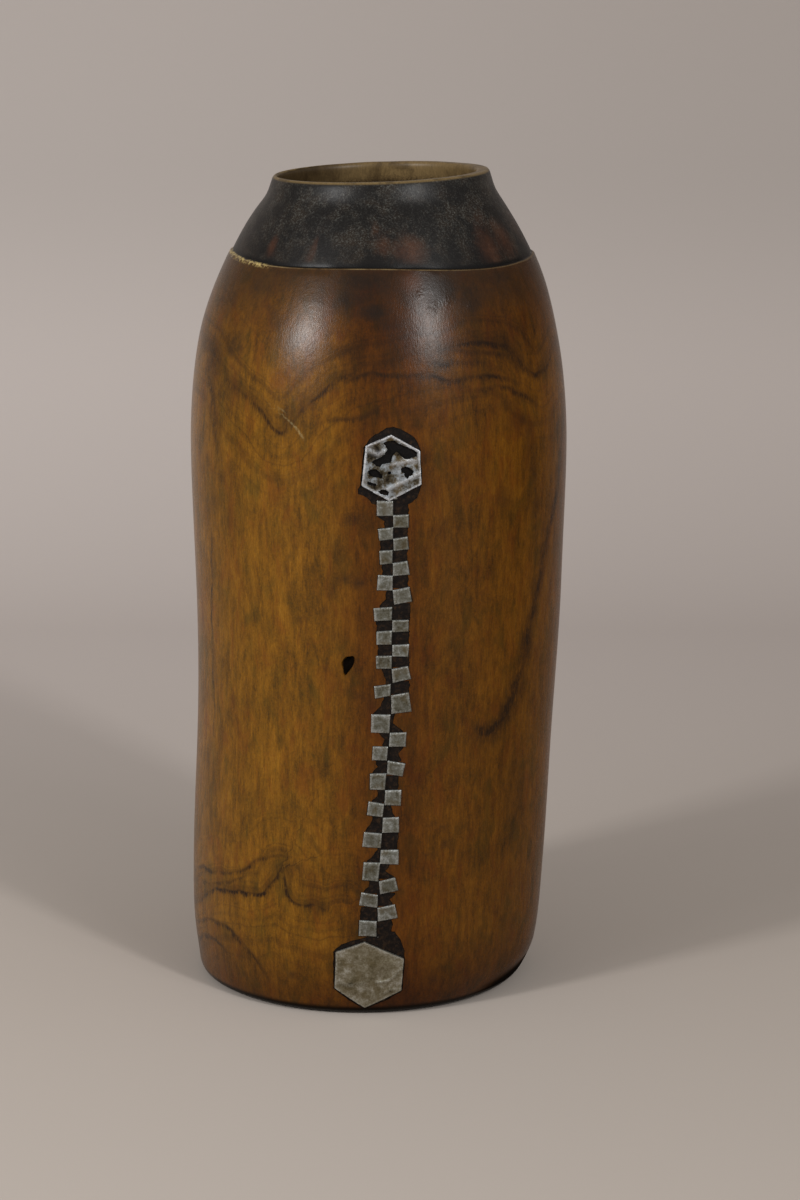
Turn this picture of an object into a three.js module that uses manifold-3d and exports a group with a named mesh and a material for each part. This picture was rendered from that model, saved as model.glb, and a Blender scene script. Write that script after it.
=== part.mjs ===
// Carved wooden milk container with a chequered metal inlay down its front.
// Millimetres, +Z up, front towards -Y, origin at the centre of the flat base.

import * as THREE from 'three';
import { mergeVertices } from 'three/addons/utils/BufferGeometryUtils.js';
import Module from 'manifold-3d';

const wasm = await Module();
wasm.setup();

// Vessel: outer and inner outline as [radius, height], turned about the upright axis.
const overallHeight = 300;
const ledgeHeight = 271;
const facetsRound = 56;
const outerSteps = 2;
const hollowSteps = 1;
const baseRadius = 57.5;
const footCorner = [61.8, 0.6];
const sideOutline = [
  [62.4, 4.8], [65.1, 20], [66.2, 50], [66.5, 100], [67.8, 148], [69.2, 190],
  [69, 212], [67.3, 231], [64.3, 247], [59.9, 261], [55.5, ledgeHeight],
];
const neckOutline = [[53.9, 272.2], [50, 280], [45.2, 287.6], [41.4, 293], [40.1, 297]];
const lipRounding = 0.7;
const cavityFloor = 11;
const cavityFloorRadius = 34;
const cavityCorner = 47;
const openAbove = 8;
const cavityOutline = [
  [50.4, 22], [55.6, 50], [56, 100], [57.2, 160], [57.4, 212], [53.6, 248], [45.5, 272],
  [37.6, 289], [35.9, 297.6],
];

// The log grew at a lean, so the rings drift to the right as they rise. The hollow was cut
// a little to the left, which leaves the lip thin there and thick on the right.
const leans = [
  { shift: 1, from: 0, to: 12 },
  { shift: 5.2, from: 0, to: 150 },
  { shift: 1.4, from: 240, to: 272 },
  { shift: -0.4, from: 276, to: 288 },
];
const cavityOffset = -1.6;
const shoulderStart = 235;
const ledgeSlope = -0.01;
const ledgeWave = 0.6;
const ledgeWorn = 0.6;
const mouthSlope = 0.042;

// Inlay: depths are measured from the wood's outer face, outwards positive.
const fitGap = 0.3;
const bedDepth = 3;
const bedFace = -0.5;
const bedHalfWidth = 5.2;
const squareDepth = 1;
const squareProud = 0.35;
const coveredSquareSink = 0.95;
const plateBack = -0.2;
const plateProud = 0.9;
const squareBevel = 0.25;

// Middle line between the two columns of squares, as [x, height].
const seamLine = [[5.0, 24], [6.2, 45], [7.5, 68], [9.9, 100], [11.0, 122], [11.5, 150], [11.9, 198]];

// Each hand-cut square: height of its middle, width, tallness and turn in degrees.
const leftSquares = [
  [189.3, 5.6, 5.3, -1], [180.1, 4.9, 4.3, 6], [171.6, 4.6, 4.8, 3], [162.4, 5.2, 5.5, -3],
  [151.0, 6.3, 4.7, 3], [142.4, 5.4, 5.0, 3], [133.4, 5.5, 4.9, 0], [122.9, 5.6, 4.4, 8],
  [110.9, 6.4, 6.7, -1], [99.9, 5.4, 5.1, -3], [89.5, 5.6, 6.0, -1], [79.2, 5.5, 5.0, -7],
  [67.7, 6.2, 5.4, -5], [56.0, 5.6, 6.9, -4], [45.2, 5.9, 4.9, -10], [34.5, 6.2, 6.0, -2],
];
const rightSquares = [
  [184.6, 5.2, 4.6, 0], [176.4, 4.9, 4.6, 6], [167.5, 5.0, 5.0, 7], [157.6, 5.8, 5.4, 11],
  [146.7, 5.5, 4.4, -2], [137.6, 5.6, 4.4, -1], [129.0, 5.7, 5.1, 11], [118.3, 6.2, 7.0, 7],
  [104.9, 5.7, 5.1, -2], [94.2, 5.4, 5.0, -12], [83.4, 5.5, 5.6, -2], [73.3, 5.6, 5.7, 0],
  [61.4, 6.2, 5.4, -1], [50.5, 5.8, 5.1, 13], [40.3, 6.3, 5.2, 9],
];
const coveredTopSquare = [194.6, 4.9, 4.8, -1];
const coveredFootSquare = [29.3, 5.6, 5.0, 8];

// Six-sided plates and the black seats round them, as [x, height] seen from the front.
const upperPlate = [[11.0, 215.3], [21.0, 209.5], [21.5, 197.6], [10.3, 192.0], [0.7, 197.4], [2.1, 211.4]];
const lowerPlate = [[1.3, 29.5], [15.4, 22.6], [14.5, 10.0], [1.2, 3.4], [-9.6, 11.2], [-9.1, 25.4]];
const upperSeat = [
  [11.9, 218.4], [18.2, 214.6], [22.2, 209.2], [22.7, 195.4], [17.2, 190.4], [4.6, 190.6],
  [-0.5, 195.6], [1.2, 211.8], [5.2, 215.8],
];
const lowerSeat = [
  [0.6, 31.2], [6.2, 33.6], [14.6, 33.2], [16.3, 23.2], [15.3, 9.4], [1.2, 2.6],
  [-10.5, 10.8], [-10.0, 26.2],
];

// Places where the upper plate has broken or burnt through to the black bed.
const plateVoids = [
  [[3.9, 204.9], [6.6, 207.6], [9.4, 210.6], [11.6, 212.9], [15.2, 211.8], [19.8, 208.2],
    [19.2, 206.4], [16.6, 205.5], [14.2, 208.2], [12.2, 206.6], [10.6, 204.2], [7.4, 203.4]],
  [[3.2, 201.6], [6.8, 202.0], [8.2, 199.3], [4.2, 199.0]],
  [[14.2, 203.6], [17.9, 203.2], [16.4, 199.2]],
  [[3.4, 197.6], [5.9, 197.0], [5.7, 195.9], [3.3, 196.4]],
  [[6.9, 195.2], [10.2, 194.9], [9.4, 193.6]],
];

const metal = { color: 0x9a9a94, roughness: 0.45, metalness: 0.9 };
const tarnishedMetal = { color: 0x8f8c80, roughness: 0.55, metalness: 0.85 };
const wood = { color: 0x7a4519, roughness: 0.42, metalness: 0 };
const pitch = { color: 0x241a14, roughness: 0.75, metalness: 0 };

const { smoothstep, degToRad } = THREE.MathUtils;
const container = new THREE.Group();

function leanAt(height) {
  return leans.reduce((sum, lean) => sum + lean.shift * smoothstep(height, lean.from, lean.to), 0);
}

// Moves a turned shape into the carved one: rings drift, the ledge rises and falls by
// hand's unevenness, and the ledge and the mouth slope.
function carve(geometry) {
  const position = geometry.attributes.position;
  for (let i = 0; i < position.count; i += 1) {
    const x = position.getX(i);
    const y = position.getY(i);
    const z = position.getZ(i);
    const towardsLedge = smoothstep(z, shoulderStart, ledgeHeight);
    const towardsMouth = smoothstep(z, ledgeHeight + 2, overallHeight);
    const slope = ledgeSlope * towardsLedge + mouthSlope * towardsMouth;
    const wave = ledgeWave * (Math.cos(4 * Math.atan2(x, -y)) - ledgeWorn);
    position.setXYZ(i, x + leanAt(z), y, z + slope * x + wave * towardsLedge * (1 - towardsMouth));
  }
  return geometry;
}

function turned(outline) {
  const geometry = new THREE.LatheGeometry(outline, facetsRound);
  geometry.rotateX(Math.PI / 2);
  return geometry;
}

function solidOf(geometry) {
  const bare = geometry.clone();
  bare.deleteAttribute('normal');
  bare.deleteAttribute('uv');
  const merged = mergeVertices(bare, 1e-4);
  const vertProperties = Float32Array.from(merged.attributes.position.array);
  const triVerts = Uint32Array.from(merged.index.array);
  return new wasm.Manifold(new wasm.Mesh({ numProp: 3, vertProperties, triVerts }));
}

function geometryOf(solid) {
  const mesh = solid.getMesh();
  const geometry = new THREE.BufferGeometry();
  geometry.setAttribute('position', new THREE.BufferAttribute(mesh.vertProperties, 3));
  geometry.setIndex(new THREE.BufferAttribute(mesh.triVerts, 1));
  const faceted = geometry.toNonIndexed();
  faceted.computeVertexNormals();
  return faceted;
}

function addPiece(name, geometry, look) {
  const piece = new THREE.Mesh(geometry, new THREE.MeshStandardMaterial(look));
  piece.name = name;
  container.add(piece);
  return piece;
}

function vectors(points) {
  return points.map(([across, up]) => new THREE.Vector2(across, up));
}

// The outside from the base to the ledge, grown or shrunk by an offset.
function sidePath(offset) {
  const path = new THREE.Path();
  path.moveTo(0, 0);
  path.lineTo(baseRadius + offset, 0);
  path.quadraticCurveTo(footCorner[0] + offset, footCorner[1], sideOutline[0][0] + offset, sideOutline[0][1]);
  path.splineThru(vectors(sideOutline.slice(1).map(([radius, height]) => [radius + offset, height])));
  return path;
}

const sideSamples = sidePath(0).getPoints(outerSteps).slice(1);

function radiusAt(height) {
  const above = sideSamples.findIndex((point) => point.y > height);
  const low = sideSamples[above - 1];
  const high = sideSamples[above];
  const share = (height - low.y) / (high.y - low.y);
  return low.x + share * (high.x - low.x);
}

function outerOutline() {
  const path = sidePath(0);
  path.lineTo(neckOutline[0][0], neckOutline[0][1]);
  path.splineThru(vectors(neckOutline.slice(1)));
  const lipRadius = neckOutline[neckOutline.length - 1][0];
  path.quadraticCurveTo(lipRadius - lipRounding, overallHeight, lipRadius - 2 * lipRounding, overallHeight);
  path.lineTo(0, overallHeight);
  return path.getPoints(outerSteps);
}

// The hollow, carried on up past the lip, which it rounds on the inside.
function hollowOutline() {
  const [mouthRadius, mouthHeight] = cavityOutline[cavityOutline.length - 1];
  const past = overallHeight + openAbove;
  const path = new THREE.Path();
  path.moveTo(0, cavityFloor - 1);
  path.lineTo(cavityFloorRadius, cavityFloor);
  path.quadraticCurveTo(cavityCorner, cavityFloor, cavityOutline[0][0], cavityOutline[0][1]);
  path.splineThru(vectors(cavityOutline.slice(1)));
  path.quadraticCurveTo(mouthRadius, overallHeight - lipRounding, mouthRadius + lipRounding, overallHeight);
  path.lineTo(mouthRadius + 2 * lipRounding, past);
  path.lineTo(0, past);
  return path.getPoints(hollowSteps);
}

// A filled copy of the body's outside, a given distance out from the wood.
function bodyGrownBy(offset) {
  const points = sidePath(offset).getPoints(outerSteps);
  points.push(new THREE.Vector2(0, ledgeHeight));
  return solidOf(carve(turned(points)));
}

// Everything behind an outline drawn on the front view.
function behindOutline(outline) {
  const reach = 90;
  const geometry = new THREE.ExtrudeGeometry(new THREE.Shape(vectors(outline)), {
    depth: reach,
    bevelEnabled: false,
  });
  geometry.rotateX(Math.PI / 2);
  return solidOf(geometry);
}

// Moves the sides of an outline out from its middle by the fitting gap.
function widened(outline, gap) {
  const middle = [0, 1].map((axis) => outline.reduce((sum, point) => sum + point[axis], 0) / outline.length);
  return outline.map(([x, z]) => {
    const away = new THREE.Vector2(x - middle[0], z - middle[1]);
    away.setLength(away.length() + gap);
    return [middle[0] + away.x, middle[1] + away.y];
  });
}

const seamCurve = new THREE.SplineCurve(vectors(seamLine));
const seamSamples = seamCurve.getPoints(24);

function seamAt(height) {
  const above = Math.max(1, seamSamples.findIndex((point) => point.y > height));
  const low = seamSamples[above - 1];
  const high = seamSamples[above];
  return low.x + ((height - low.y) / (high.y - low.y)) * (high.x - low.x);
}

function stripOutline(halfWidth) {
  const line = seamCurve.getPoints(12);
  const leftSide = line.map((point) => [point.x - halfWidth, point.y]);
  const rightSide = line.map((point) => [point.x + halfWidth, point.y]);
  return [...rightSide, ...leftSide.reverse()];
}

// Where a spot drawn on the front view lies on the vessel, and which way the wood faces there.
function spotOnVessel(x, height) {
  const radius = radiusAt(height);
  const around = Math.asin((x - leanAt(height)) / radius);
  const rise = 2;
  const flare = Math.atan2(radiusAt(height + rise) - radiusAt(height - rise), 2 * rise);
  const outwards = new THREE.Vector3(Math.sin(around), -Math.cos(around), -Math.tan(flare)).normalize();
  const place = new THREE.Vector3(x, -radius * Math.cos(around), height);
  return { place, outwards };
}

// A rectangular block standing on its back face, its front edges softened.
function blockGeometry(width, tallness, back, front, softening) {
  const flat = new THREE.Shape(vectors([
    [-width / 2, -tallness / 2], [width / 2, -tallness / 2],
    [width / 2, tallness / 2], [-width / 2, tallness / 2],
  ]));
  const geometry = new THREE.ExtrudeGeometry(flat, {
    depth: front - back - 2 * softening,
    bevelEnabled: softening > 0,
    bevelThickness: softening,
    bevelSize: softening,
    bevelOffset: -softening,
    bevelSegments: 1,
  });
  geometry.translate(0, 0, back + softening);
  return geometry;
}

// Lets one square into the bed, beside the seam, and returns the pocket that holds it.
function setSquare(name, side, [height, width, tallness, turn], sink) {
  const angle = degToRad(turn);
  const halfReach = (width * Math.cos(angle) + tallness * Math.abs(Math.sin(angle))) / 2;
  const x = seamAt(height) + side * (halfReach + fitGap / 2);
  const { place, outwards } = spotOnVessel(x, height);
  const block = blockGeometry(width, tallness, -squareDepth - sink, squareProud - sink, squareBevel);
  const square = addPiece(name, block, metal);
  square.up.set(0, 0, 1);
  square.position.copy(place);
  square.lookAt(place.clone().add(outwards));
  square.rotateZ(angle);
  square.updateMatrix();
  const clearance = 2 * fitGap;
  const pocketTop = 4;
  const pocketFloor = -squareDepth - sink - fitGap;
  const pocket = blockGeometry(width + clearance, tallness + clearance, pocketFloor, pocketTop, 0);
  pocket.applyMatrix4(square.matrix);
  return solidOf(pocket);
}

function columnName(column, index) {
  return `${column}_square_${String(index + 1).padStart(2, '0')}`;
}

const pockets = [
  ...leftSquares.map((square, index) => setSquare(columnName('left', index), -1, square, 0)),
  ...rightSquares.map((square, index) => setSquare(columnName('right', index), 1, square, 0)),
  setSquare('covered_top_square', 1, coveredTopSquare, coveredSquareSink),
  setSquare('covered_foot_square', 1, coveredFootSquare, coveredSquareSink),
].reduce((all, pocket) => all.add(pocket));

function inlayRegion(gap) {
  return behindOutline(stripOutline(bedHalfWidth + gap))
    .add(behindOutline(widened(upperSeat, gap)))
    .add(behindOutline(widened(lowerSeat, gap)));
}

const channel = inlayRegion(fitGap).subtract(bodyGrownBy(-bedDepth - fitGap));
const hollow = carve(turned(hollowOutline())).translate(cavityOffset, 0, 0);
const vessel = solidOf(carve(turned(outerOutline())))
  .subtract(solidOf(hollow))
  .subtract(channel)
  .subtract(pockets);
addPiece('vessel', geometryOf(vessel), wood);

const bedLayer = bodyGrownBy(bedFace).subtract(bodyGrownBy(-bedDepth));
const bed = bedLayer.intersect(inlayRegion(0)).subtract(pockets);
addPiece('pitch_bed', geometryOf(bed), pitch);

const plateLayer = bodyGrownBy(plateProud).subtract(bodyGrownBy(plateBack));
const voids = plateVoids.map(behindOutline).reduce((all, hole) => all.add(hole));
const upper = plateLayer.intersect(behindOutline(upperPlate)).subtract(voids);
addPiece('upper_plate', geometryOf(upper), metal);
addPiece('lower_plate', geometryOf(plateLayer.intersect(behindOutline(lowerPlate))), tarnishedMetal);

export default container;
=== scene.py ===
import math
import random

import bpy
import numpy as np
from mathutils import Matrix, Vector, geometry, noise


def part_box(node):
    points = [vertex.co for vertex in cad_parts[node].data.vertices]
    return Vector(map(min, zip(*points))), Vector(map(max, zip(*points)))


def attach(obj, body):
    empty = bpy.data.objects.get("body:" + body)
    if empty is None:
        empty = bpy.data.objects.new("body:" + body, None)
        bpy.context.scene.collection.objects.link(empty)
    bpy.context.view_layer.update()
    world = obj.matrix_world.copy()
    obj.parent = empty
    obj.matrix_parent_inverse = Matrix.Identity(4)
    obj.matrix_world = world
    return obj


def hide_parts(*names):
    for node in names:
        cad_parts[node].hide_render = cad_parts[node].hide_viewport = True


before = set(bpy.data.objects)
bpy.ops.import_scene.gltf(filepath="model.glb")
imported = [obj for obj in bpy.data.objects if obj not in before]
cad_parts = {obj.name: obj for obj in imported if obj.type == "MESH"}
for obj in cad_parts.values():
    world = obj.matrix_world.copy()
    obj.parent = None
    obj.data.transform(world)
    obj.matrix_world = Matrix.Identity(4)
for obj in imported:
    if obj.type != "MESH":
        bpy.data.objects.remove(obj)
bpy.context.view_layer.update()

# Milk container: one log hollowed and carved by hand, its neck charred black, with metal
# squares and plates let into black pitch down the front.
# The frame is in metres. Sizes here are in millimetres and are turned to metres by mm.
mm = 0.001

photoView = {"place": (14.05, -1270, 424), "tiltDown": 12.56, "lens": 105}  # in front, a little above

studio = {
    "floorFront": -1900, "floorBack": 560, "sweepRadius": 420, "sweepSteps": 14,
    "wallHeight": 2600, "width": 6000,
    "nearFloor": "#bbb1a8", "farFloor": "#cac0ba", "wall": "#bbb2ac",
    "farFrom": (0, 600), "wallFrom": (80, 220),  # where each colour begins and is full
    "rightShade": "#eeedec", "shadeReach": 320, "worldLevel": 0.4, "lampsAim": (5, 0, 200),
    "lamps": [  # direction round the vessel (0 = front, + = right), height angle, distance, size, watts
        {"name": "leftWindow", "turn": -50, "rise": 22, "away": 1600, "size": (190, 240), "watts": 10.5},
        {"name": "leftCurtain", "turn": -50, "rise": 22, "away": 1600, "size": (700, 700), "watts": 4.2},
        {"name": "rightWindow", "turn": 34, "rise": 25, "away": 1600, "size": (130, 440), "watts": 8.5},
        {"name": "rightCurtain", "turn": 36, "rise": 25, "away": 1600, "size": (600, 800), "watts": 4.5},
    ],
}

vessel = {
    "spokes": 60,
    "baseRing": (54.5, 0), "baseRadius": 57.5, "footCorner": (61.8, 0.6),
    "side": [(62.4, 4.8), (65.1, 20), (66.2, 50), (66.5, 100), (67.8, 148), (69.2, 190),
             (69, 212), (67.3, 231), (64.3, 247), (59.9, 261), (55.8, 270.4)],
    "ledge": [(55.6, 270.9), (55.3, 271.15), (54.7, 271.25), (54.4, 271.5)],
    "neck": [(54.0, 272.4), (50, 280), (45.2, 287.6), (41.4, 293), (40.1, 297)],
    "lipOuter": (39.4, 300), "lipTop": [(38.6, 300), (37.5, 300), (36.6, 300)], "lipInner": (35.9, 299.3),
    "hollow": [(35.9, 297.6), (37.6, 289), (45.5, 272), (53.6, 248), (57.4, 212), (57.2, 160),
               (56, 100), (55.6, 50), (50.4, 22)],
    "hollowCorner": (47, 11), "hollowFloor": [(34, 11), (18, 10.5)],
    "hollowOffset": -1.6,  # the hollow is cut to the left, so the lip is thin there
    "sideSpacing": 5.6, "neckSpacing": 4.2, "hollowSpacing": 12,
    "leans": [(1, 0, 12), (5.2, 0, 150), (1.4, 240, 272), (-0.4, 276, 288)],  # shift right, from, to
    "ledgeSlope": -0.01, "ledgeWave": 0.6, "ledgeWaves": 4, "ledgeWorn": 0.6, "mouthSlope": 0.042,
    "towardsLedge": (235, 271), "towardsMouth": (273, 300),  # heights over which those set in
    "waviness": 0.16, "wavelength": 30,  # what the adze and scraper left, inwards only
    "trueAcross": (10, 16, 34),  # no waves at the inlay: its middle, where they begin and are full
    "ledgeWear": 0.35, "ledgeWearLength": 5, "ledgeWearHeight": 1.1,
    "ledgeWearMost": (-42, 20),  # turn and reach
    "lipWear": 0.12, "lipWearLength": 11,
    "knocks": [  # turn, height, reach round, reach up, strength
        (13.5, 263, 1.6, 1.8, 0.9), (17.5, 258, 2.2, 2.4, 1), (22.5, 261, 2.2, 2.6, 0.9),
        (31.5, 259, 3, 2.6, 0.8), (37, 262, 2, 2, 0.5)],
    "knockDepth": 0.14, "knockLength": 3,
    "wornFoot": 1.4, "wornFootTurn": 88, "wornFootReach": 45, "wornFootHeight": 13,
    "unrolledAt": 150,  # marks and growth lines are laid out on the vessel unrolled at this height
    "pit": {"turn": -9, "height": 132, "halfSize": (2.2, 2.2, 3.7), "taper": 0.4, "uneven": 0.4},
}


def smoothStep(value, start, end):
    share = np.clip((value - start) / (end - start), 0, 1)
    return share * share * (3 - 2 * share)


def hump(value, middle, reach):  # 1 at the middle, soft to 0 on both sides
    return np.exp(-((value - middle) / reach) ** 2)


def curveThrough(points, spacing):  # a smooth line through points, ready to extrude along
    path = [tuple(points[0])]
    last = len(points) - 1
    for i in range(last):
        a, b, c, d = (np.array(points[j], float) for j in (max(i - 1, 0), i, i + 1, min(i + 2, last)))
        steps = max(1, round(float(np.linalg.norm((c - b)[:2])) / spacing))
        for step in range(1, steps + 1):
            t = step / steps
            bend = (2 * a - 5 * b + 4 * c - d) * t ** 2 + (3 * b - a - 3 * c + d) * t ** 3
            path.append(tuple(0.5 * (2 * b + (c - a) * t + bend)))
    return path


def roundedCorner(start, corner, end, steps):
    a, b, c = (np.array(point, float) for point in (start, corner, end))
    shares = [step / steps for step in range(1, steps + 1)]
    return [tuple((1 - t) ** 2 * a + 2 * t * (1 - t) * b + t * t * c) for t in shares]


outerLine = [(vessel["baseRadius"], 0)]
outerLine += roundedCorner(outerLine[0], vessel["footCorner"], vessel["side"][0], 3)
outerLine += curveThrough(vessel["side"], vessel["sideSpacing"])[1:]
outerLine += vessel["ledge"]
outerLine += curveThrough(vessel["neck"], vessel["neckSpacing"])
outerLine += roundedCorner(vessel["neck"][-1], vessel["lipOuter"], vessel["lipTop"][0], 3)
hollowLine = roundedCorner(vessel["lipTop"][-1], vessel["lipInner"], vessel["hollow"][0], 2)
hollowLine += curveThrough(vessel["hollow"], vessel["hollowSpacing"])[1:]
hollowLine += roundedCorner(vessel["hollow"][-1], vessel["hollowCorner"], vessel["hollowFloor"][0], 3)


def outerRadius(height):
    return np.interp(height, [ring[1] for ring in outerLine], [ring[0] for ring in outerLine])


def hollowRadius(height):
    upwards = hollowLine[::-1]
    return np.interp(height, [ring[1] for ring in upwards], [ring[0] for ring in upwards])


def leanAt(height):
    return sum(shift * smoothStep(height, start, end) for shift, start, end in vessel["leans"])


def ringShift(x, y, height):  # how far the carved rings lie above the turned ones
    toLedge = smoothStep(height, *vessel["towardsLedge"])
    toMouth = smoothStep(height, *vessel["towardsMouth"])
    slope = vessel["ledgeSlope"] * toLedge + vessel["mouthSlope"] * toMouth
    wave = vessel["ledgeWave"] * (np.cos(vessel["ledgeWaves"] * np.arctan2(x, -y)) - vessel["ledgeWorn"])
    return slope * x + wave * toLedge * (1 - toMouth)


def carved(points):  # the turned shape leans to the right, and its ledge and mouth slope
    x, y, z = points.T
    return np.stack([x + leanAt(z), y, z + ringShift(x, y, z)], axis=1)


def uncarved(points):  # where a point of the carved shape lay before
    x, y, z = points.T
    before = z.copy()
    for _ in range(6):  # each round comes closer
        before = z - ringShift(x - leanAt(before), y, before)
    return np.stack([x - leanAt(before), y, before], axis=1)


def onWood(x, z, proud):  # a place on the front of the vessel, proud of the wood by so much
    away = x - leanAt(z)
    return Vector((x, -math.sqrt((outerRadius(z) + proud) ** 2 - away ** 2), z))


def pointsOf(piece):
    flat = np.empty(len(piece.data.vertices) * 3)
    piece.data.vertices.foreach_get("co", flat)
    return flat.reshape(-1, 3) / mm


def movePoints(piece, points):
    piece.data.vertices.foreach_set("co", (points * mm).ravel())
    piece.data.update()


def giveValues(piece, name, values):  # a number or a vector for every vertex, read by the material
    kind, field = ("FLOAT", "value") if values.ndim == 1 else ("FLOAT_VECTOR", "vector")
    layer = piece.data.attributes.new(name, kind, "POINT")
    layer.data.foreach_set(field, values.astype(np.float32).ravel())


def noiseAt(points, wavelength, seed):
    shift = Vector((17.3 * seed, 5.1 * seed, 9.7 * seed))
    return np.array([noise.noise(Vector(point) / wavelength + shift) for point in points])


def selectOnly(piece):
    bpy.ops.object.select_all(action="DESELECT")
    bpy.context.view_layer.objects.active = piece
    piece.select_set(True)


def startEditing(piece):
    selectOnly(piece)
    bpy.ops.object.mode_set(mode="EDIT")
    bpy.ops.mesh.select_all(action="SELECT")


def stopEditing():
    bpy.ops.object.mode_set(mode="OBJECT")


def selectVertices(piece, wanted):  # goes on editing with only the wanted vertices selected
    startEditing(piece)
    bpy.ops.mesh.select_mode(type="VERT")
    bpy.ops.mesh.select_all(action="DESELECT")
    stopEditing()
    for vertex in piece.data.vertices:
        vertex.select = wanted(vertex.co)
    bpy.ops.object.mode_set(mode="EDIT")


def settle(piece):  # the piece's place goes into its mesh, its object to the origin
    selectOnly(piece)
    bpy.ops.object.transform_apply(location=True, rotation=True, scale=True)


def applyModifier(piece, kind, settings):
    selectOnly(piece)
    modifier = piece.modifiers.new(kind.lower(), kind)
    for name, value in settings.items():
        setattr(modifier, name, value)
    bpy.ops.object.modifier_apply(modifier=modifier.name)


def subtract(piece, cutter):
    applyModifier(piece, "BOOLEAN", {"operation": "DIFFERENCE", "solver": "MANIFOLD", "object": cutter})


def cutAway(piece, cutter):  # the same, and the cutter isn't needed any more
    subtract(piece, cutter)
    bpy.data.objects.remove(cutter)


def softenEdges(piece, width, angle):
    applyModifier(piece, "BEVEL", {"width": width * mm, "segments": 2, "limit_method": "ANGLE",
                                   "angle_limit": math.radians(angle)})


def smoothExceptEdges(piece, angle):
    selectOnly(piece)
    bpy.ops.object.shade_smooth_by_angle(angle=math.radians(angle))


def finishPiece(piece, material, nodes):
    piece.data.materials.clear()
    piece.data.materials.append(material)
    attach(piece, "root")
    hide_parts(*nodes)


def linear(hexColour):
    channels = [int(hexColour[i:i + 2], 16) / 255 for i in (1, 3, 5)]
    return tuple(c / 12.92 if c <= 0.04045 else ((c + 0.055) / 1.055) ** 2.4 for c in channels) + (1,)


def addNode(tree, kind, settings=None, links=None):
    node = tree.nodes.new("ShaderNode" + kind)
    for name, value in (settings or {}).items():
        if name == "stops":  # a ramp's places and colours
            for i, (place, colour) in enumerate(value):
                stop = node.color_ramp.elements[i] if i < 2 else node.color_ramp.elements.new(place)
                stop.position = place
                stop.color = linear(colour)
        elif isinstance(name, int) or name in node.inputs:
            node.inputs[name].default_value = linear(value) if isinstance(value, str) else value
        else:
            setattr(node, name, value)
    for name, source in (links or {}).items():
        if isinstance(source, bpy.types.Node):
            source = next(socket for socket in source.outputs if socket.enabled)
        tree.links.new(source, node.inputs[name])
    return node


def mapped(source, start, end, low=0.0, high=1.0):
    settings = {"interpolation_type": "SMOOTHSTEP", "From Min": start, "From Max": end,
                "To Min": low, "To Max": high}
    return addNode(source.id_data, "MapRange", settings, {"Value": source})


def scaled(source, factor, shift=0.0):
    return addNode(source.id_data, "Math", {"operation": "MULTIPLY_ADD", 1: factor, 2: shift}, {0: source})


def absolute(source):
    return addNode(source.id_data, "Math", {"operation": "ABSOLUTE"}, {0: source})


def joined(operation, sources):
    total = sources[0]
    for source in sources[1:]:
        total = addNode(total.id_data, "Math", {"operation": operation}, {0: total, 1: source})
    return total


def times(*sources):
    return joined("MULTIPLY", sources)


def summed(*sources):
    return joined("ADD", sources)


def darkest(*shades):
    return joined("MAXIMUM", shades)


def overlaid(below, mask, above, blend="MIX"):  # colour above colour where the mask is 1
    settings, links = {"data_type": "RGBA", "blend_type": blend, 7: above}, {0: mask}
    (settings if isinstance(below, str) else links)[6] = below
    return addNode(mask.id_data, "Mix", settings, links)


def attribute(tree, name, output="Fac"):
    return addNode(tree, "Attribute", {"attribute_name": name}).outputs[output]


def noiseIn(place, scale, detail=2.0, roughness=0.5):  # noise that is the same in all directions
    settings = {"Scale": scale, "Detail": detail, "Roughness": roughness}
    return addNode(place.id_data, "TexNoise", settings, {"Vector": place})


def stretched(place, factors):
    return addNode(place.id_data, "VectorMath", {"operation": "MULTIPLY", 1: factors}, {0: place})


def raised(height, strength, distance):
    settings = {"Strength": strength, "Distance": distance * mm}
    return addNode(height.id_data, "Bump", settings, {"Height": height})


def surfaced(material, settings, links, kind="BsdfPrincipled"):  # the material, ready to use
    shader = addNode(material.node_tree, kind, settings, links)
    addNode(material.node_tree, "OutputMaterial", {}, {"Surface": shader})
    return material


def newMaterial(name):  # with its node tree and the place on the piece in millimetres
    material = bpy.data.materials.new(name)
    material.use_nodes = True
    tree = material.node_tree
    tree.nodes.clear()
    place = addNode(tree, "TexCoord").outputs["Object"]
    return material, tree, addNode(tree, "VectorMath", {"operation": "SCALE", "Scale": 1 / mm}, {0: place})


# Camera

bpy.ops.object.camera_add(
    location=[place * mm for place in photoView["place"]],
    rotation=(math.radians(90 - photoView["tiltDown"]), 0, 0),
)
bpy.context.object.data.lens = photoView["lens"]
bpy.context.scene.camera = bpy.context.object
bpy.context.scene.view_settings.view_transform = "Standard"
print("camera set")


# Studio: plain pale floor that sweeps up behind, two windows that each have a wide soft curtain
# of light round them, and an even sky

def paintedFloorMaterial():
    # Canvas painted matt: no gloss at all, a little paler at the back of the floor, and with a
    # painted shade that makes it a little darker to the right.
    material, tree, place = newMaterial("canvas backdrop, painted matt")
    across, back, up = addNode(tree, "SeparateXYZ", {}, {0: place}).outputs
    reach = studio["shadeReach"]
    colour = overlaid(studio["nearFloor"], mapped(back, *studio["farFrom"]), studio["farFloor"])
    colour = overlaid(colour, mapped(up, *studio["wallFrom"]), studio["wall"])
    colour = overlaid(colour, mapped(across, -reach, reach), studio["rightShade"], "MULTIPLY")
    painted = addNode(tree, "BsdfDiffuse", {}, {"Color": colour})
    clear = addNode(tree, "BsdfTransparent", {})
    fromBehind = addNode(tree, "NewGeometry").outputs["Backfacing"]  # the wall doesn't hide the back view
    return surfaced(material, {}, {0: fromBehind, 1: painted, 2: clear}, "MixShader")


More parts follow.
